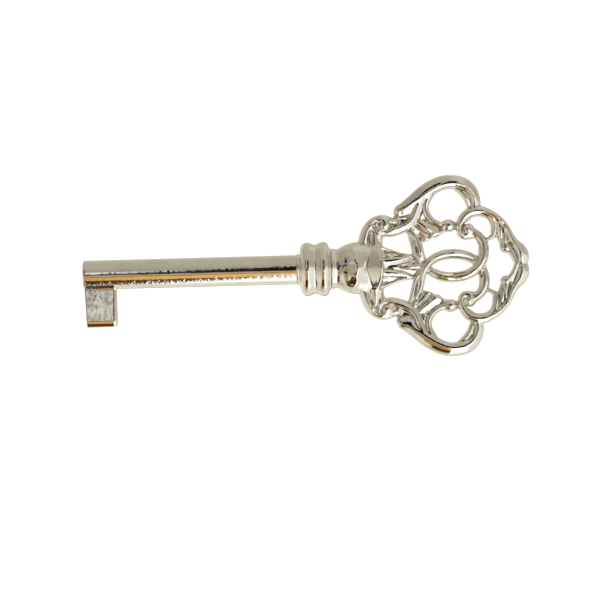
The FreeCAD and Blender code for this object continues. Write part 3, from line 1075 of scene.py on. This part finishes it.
def light_for(colour):
    """The light that shows as a display colour of 0 to 255 when nickel reflects it."""
    return tuple(linear(level) / tint for level, tint in zip(colour, NICKEL))


def linear(level):
    """The light behind a display level of 0 to 255."""
    level = level / 255
    return level / 12.92 if level < 0.04045 else ((level + 0.055) / 1.055) ** 2.4


def tinted(amount):
    """The plate's colour made lighter or darker."""
    return tuple(min(1, amount * c) for c in NICKEL)


def plate_colour(graph, place, shape, edge, hollow_shade):
    """Nickel with faint tarnish, painted shade in the hollows and a painted highlight on the edges.
    """
    tarnish = graph.spread(graph.noise(place, scale=260, detail=3), 0.35, 0.7)
    colour = graph.mix(tarnish, tinted(1.04), tinted(0.95))
    # Painted shade: the plate darkens towards the shade colour where the surface is hollow, in
    # creases and between parts.
    hollow = graph.spread(shape, 0.49, 0.46, 0, hollow_shade)
    colour = graph.mix(hollow, colour, HOLLOW_SHADE)
    # Painted highlight: the plate colour is made lighter on sharp outer edges.
    return graph.mix(edge, colour, tinted(1.12))


def plate_roughness(graph, place, scratches, edge, unrubbed, rough):
    """Rougher along scratches, in hazy patches and on edges, and smooth where it is rubbed."""
    wear = graph.calc("MULTIPLY", graph.spread(scratches, 0.3, 0.75, 0.6, 1.8), rough)
    haze = graph.spread(graph.noise(place, scale=700, detail=2), 0.45, 0.8, 0, rough)
    total = graph.calc("ADD", wear, haze)
    total = graph.calc("MULTIPLY_ADD", edge, 0.06, total)
    return graph.calc("MULTIPLY", total, unrubbed)


def nickel(name, rough, squash, bumps, hollow_shade, rubbed_past=EAR_RUBBED):
    """Nickel plate with scratches drawn out along each axis whose squash is small. It is
    rubbed smooth where Y lies past the given place."""
    material = bpy.data.materials.new(name)
    graph = Graph(material)
    shader = graph.nodes["Principled BSDF"]
    place = graph.nodes.new("ShaderNodeTexCoord").outputs["Object"]
    shape = graph.nodes.new("ShaderNodeNewGeometry").outputs["Pointiness"]
    # Sharp outer edges: they get a painted highlight in the colour, and more roughness.
    edge = graph.spread(shape, 0.52, 0.62)
    scratches = graph.noise(place, 2600, 5, squash)
    y = graph.split(place)["Y"]
    unrubbed = graph.spread(y, (rubbed_past - 0.1) * MM, (rubbed_past + 0.1) * MM, 0.2, 1)
    roughness = plate_roughness(graph, place, scratches, edge, unrubbed, rough)
    bump = graph.nodes.new("ShaderNodeBump")
    bump.inputs["Strength"].default_value = bumps
    bump.inputs["Distance"].default_value = SCRATCH_DEPTH * MM
    graph.feed(bump.inputs["Height"], graph.calc("MULTIPLY", scratches, unrubbed))
    graph.feed(shader.inputs["Metallic"], 1.0)
    graph.feed(shader.inputs["Base Color"], plate_colour(graph, place, shape, edge, hollow_shade))
    graph.feed(shader.inputs["Roughness"], roughness)
    graph.feed(shader.inputs["Normal"], bump.outputs["Normal"])
    return material


def past_edge(graph, rise, side, edge):
    """Nought before a slanting edge of the dark strip, and one past it."""
    offset, slant, fade = edge
    across = graph.calc("SUBTRACT", side, graph.calc("MULTIPLY", rise, slant))
    return graph.spread(across, offset - fade, offset + fade, fade="SMOOTHSTEP")


def camera_cover(graph, rise, side):
    """How far the dark camera over the key hides the room. Towards -X it is fainter and reaches
    less far towards +Y, except in its strong band."""
    band = graph.window(side, *CAMERA_BAND)
    strength = graph.limit(graph.calc("MULTIPLY_ADD", side, 0.13, 1.35), 0.55, 1)
    strength = graph.calc("MAXIMUM", strength, band)
    across = graph.calc("MULTIPLY", graph.window(side, *CAMERA_SPAN), strength)
    top = graph.limit(graph.calc("MULTIPLY_ADD", side, 4.3, 26), 4, CAMERA_TOP)
    top = graph.calc("MAXIMUM", top, graph.calc("MULTIPLY", band, CAMERA_TOP))
    return graph.calc("MULTIPLY", graph.window(rise, CAMERA_LOW, top, CAMERA_FADE), across)


def make_world():
    """Soft studio light as seen in polished plate: a grey-beige room behind the key, a white
    wall on the right and a cream one on the left, and between them a dark strip with a warm
    band across it. Soft patches and the dark camera lie over them."""
    world = bpy.data.worlds.new("studio")
    bpy.context.scene.world = world
    graph = Graph(world)
    x, y, z = graph.split(graph.nodes.new("ShaderNodeTexCoord").outputs["Generated"])
    rise = graph.calc("MULTIPLY", graph.calc("ARCTAN2", y, z), 180 / math.pi)
    side = graph.calc("MULTIPLY", graph.calc("ARCSINE", x), 180 / math.pi)
    left, strip, right = (graph.ramp(rise, wall + CEILING)
                          for wall in (LEFT_WALL, DARK_STRIP, RIGHT_WALL))
    room = graph.mix(past_edge(graph, rise, side, STRIP_LEFT), left, strip)
    room = graph.mix(past_edge(graph, rise, side, STRIP_RIGHT), room, right)
    for sides, rises, strength, colour in PATCHES:
        cover = graph.calc("MULTIPLY", graph.window(side, *sides), graph.window(rise, *rises))
        room = graph.mix(graph.calc("MULTIPLY", cover, strength), room, light_for(colour))
    room = graph.mix(camera_cover(graph, rise, side), room, light_for(CAMERA))
    graph.feed(graph.nodes["Background"].inputs["Color"], room)


def make_floor():
    """A pale floor under the key, which does not show in the plate."""
    low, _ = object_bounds()
    z = low[2] / MM
    size = 600
    corners = np.array([(-size, -size, z), (size, -size, z), (size, size, z), (-size, size, z)])
    floor = mesh_object("floor", corners, np.array([(0, 1, 2, 3)]))
    material = bpy.data.materials.new("pale_floor")
    material.use_nodes = True
    shader = material.node_tree.nodes["Principled BSDF"]
    shader.inputs["Base Color"].default_value = (0.9, 0.9, 0.9, 1)
    shader.inputs["Roughness"].default_value = 0.9
    shader.inputs["Emission Color"].default_value = (1, 1, 1, 1)
    shader.inputs["Emission Strength"].default_value = 0.75
    floor.data.materials.append(material)
    floor.visible_glossy = False


def make_camera():
    """The camera straight above the key, turned a little."""
    data = bpy.data.cameras.new("camera")
    data.lens = 141
    data.sensor_width = 36
    camera = bpy.data.objects.new("camera", data)
    bpy.context.collection.objects.link(camera)
    camera.location = (0.03678, -0.00517, 0.4005)
    camera.rotation_euler = (0, 0, -math.radians(1.53))
    bpy.context.scene.camera = camera


def keep_piece(piece, node, material):
    """Give a piece its material, and put it in its CAD node's place."""
    piece.data.materials.append(material)
    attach(piece, "root")
    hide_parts(node)


make_camera()
make_world()
make_floor()
bpy.context.scene.view_settings.view_transform = "Standard"
# The last number given to each plate sets how strongly its hollows are darkened with painted shade.
cast_nickel = nickel("cast_nickel", rough=0.07, squash=(1, 1, 1), bumps=0.5, hollow_shade=0.5)
drawn_nickel = nickel("drawn_nickel", rough=0.06, squash=(0.12, 1, 1), bumps=0.5, hollow_shade=0.5)
turned_nickel = nickel("turned_nickel", rough=0.06, squash=(1, 0.12, 0.12), bumps=0.4, hollow_shade=0.5)
rough_nickel = nickel("rough_nickel", rough=0.09, squash=(1, 0.5, 1), bumps=0.4, hollow_shade=0.4,
                      rubbed_past=-7.85)
keep_piece(make_bow(), "bow", cast_nickel)
keep_piece(make_shank(), "shank", drawn_nickel)
keep_piece(make_collar(), "collar", turned_nickel)
keep_piece(make_bit(), "bit", rough_nickel)
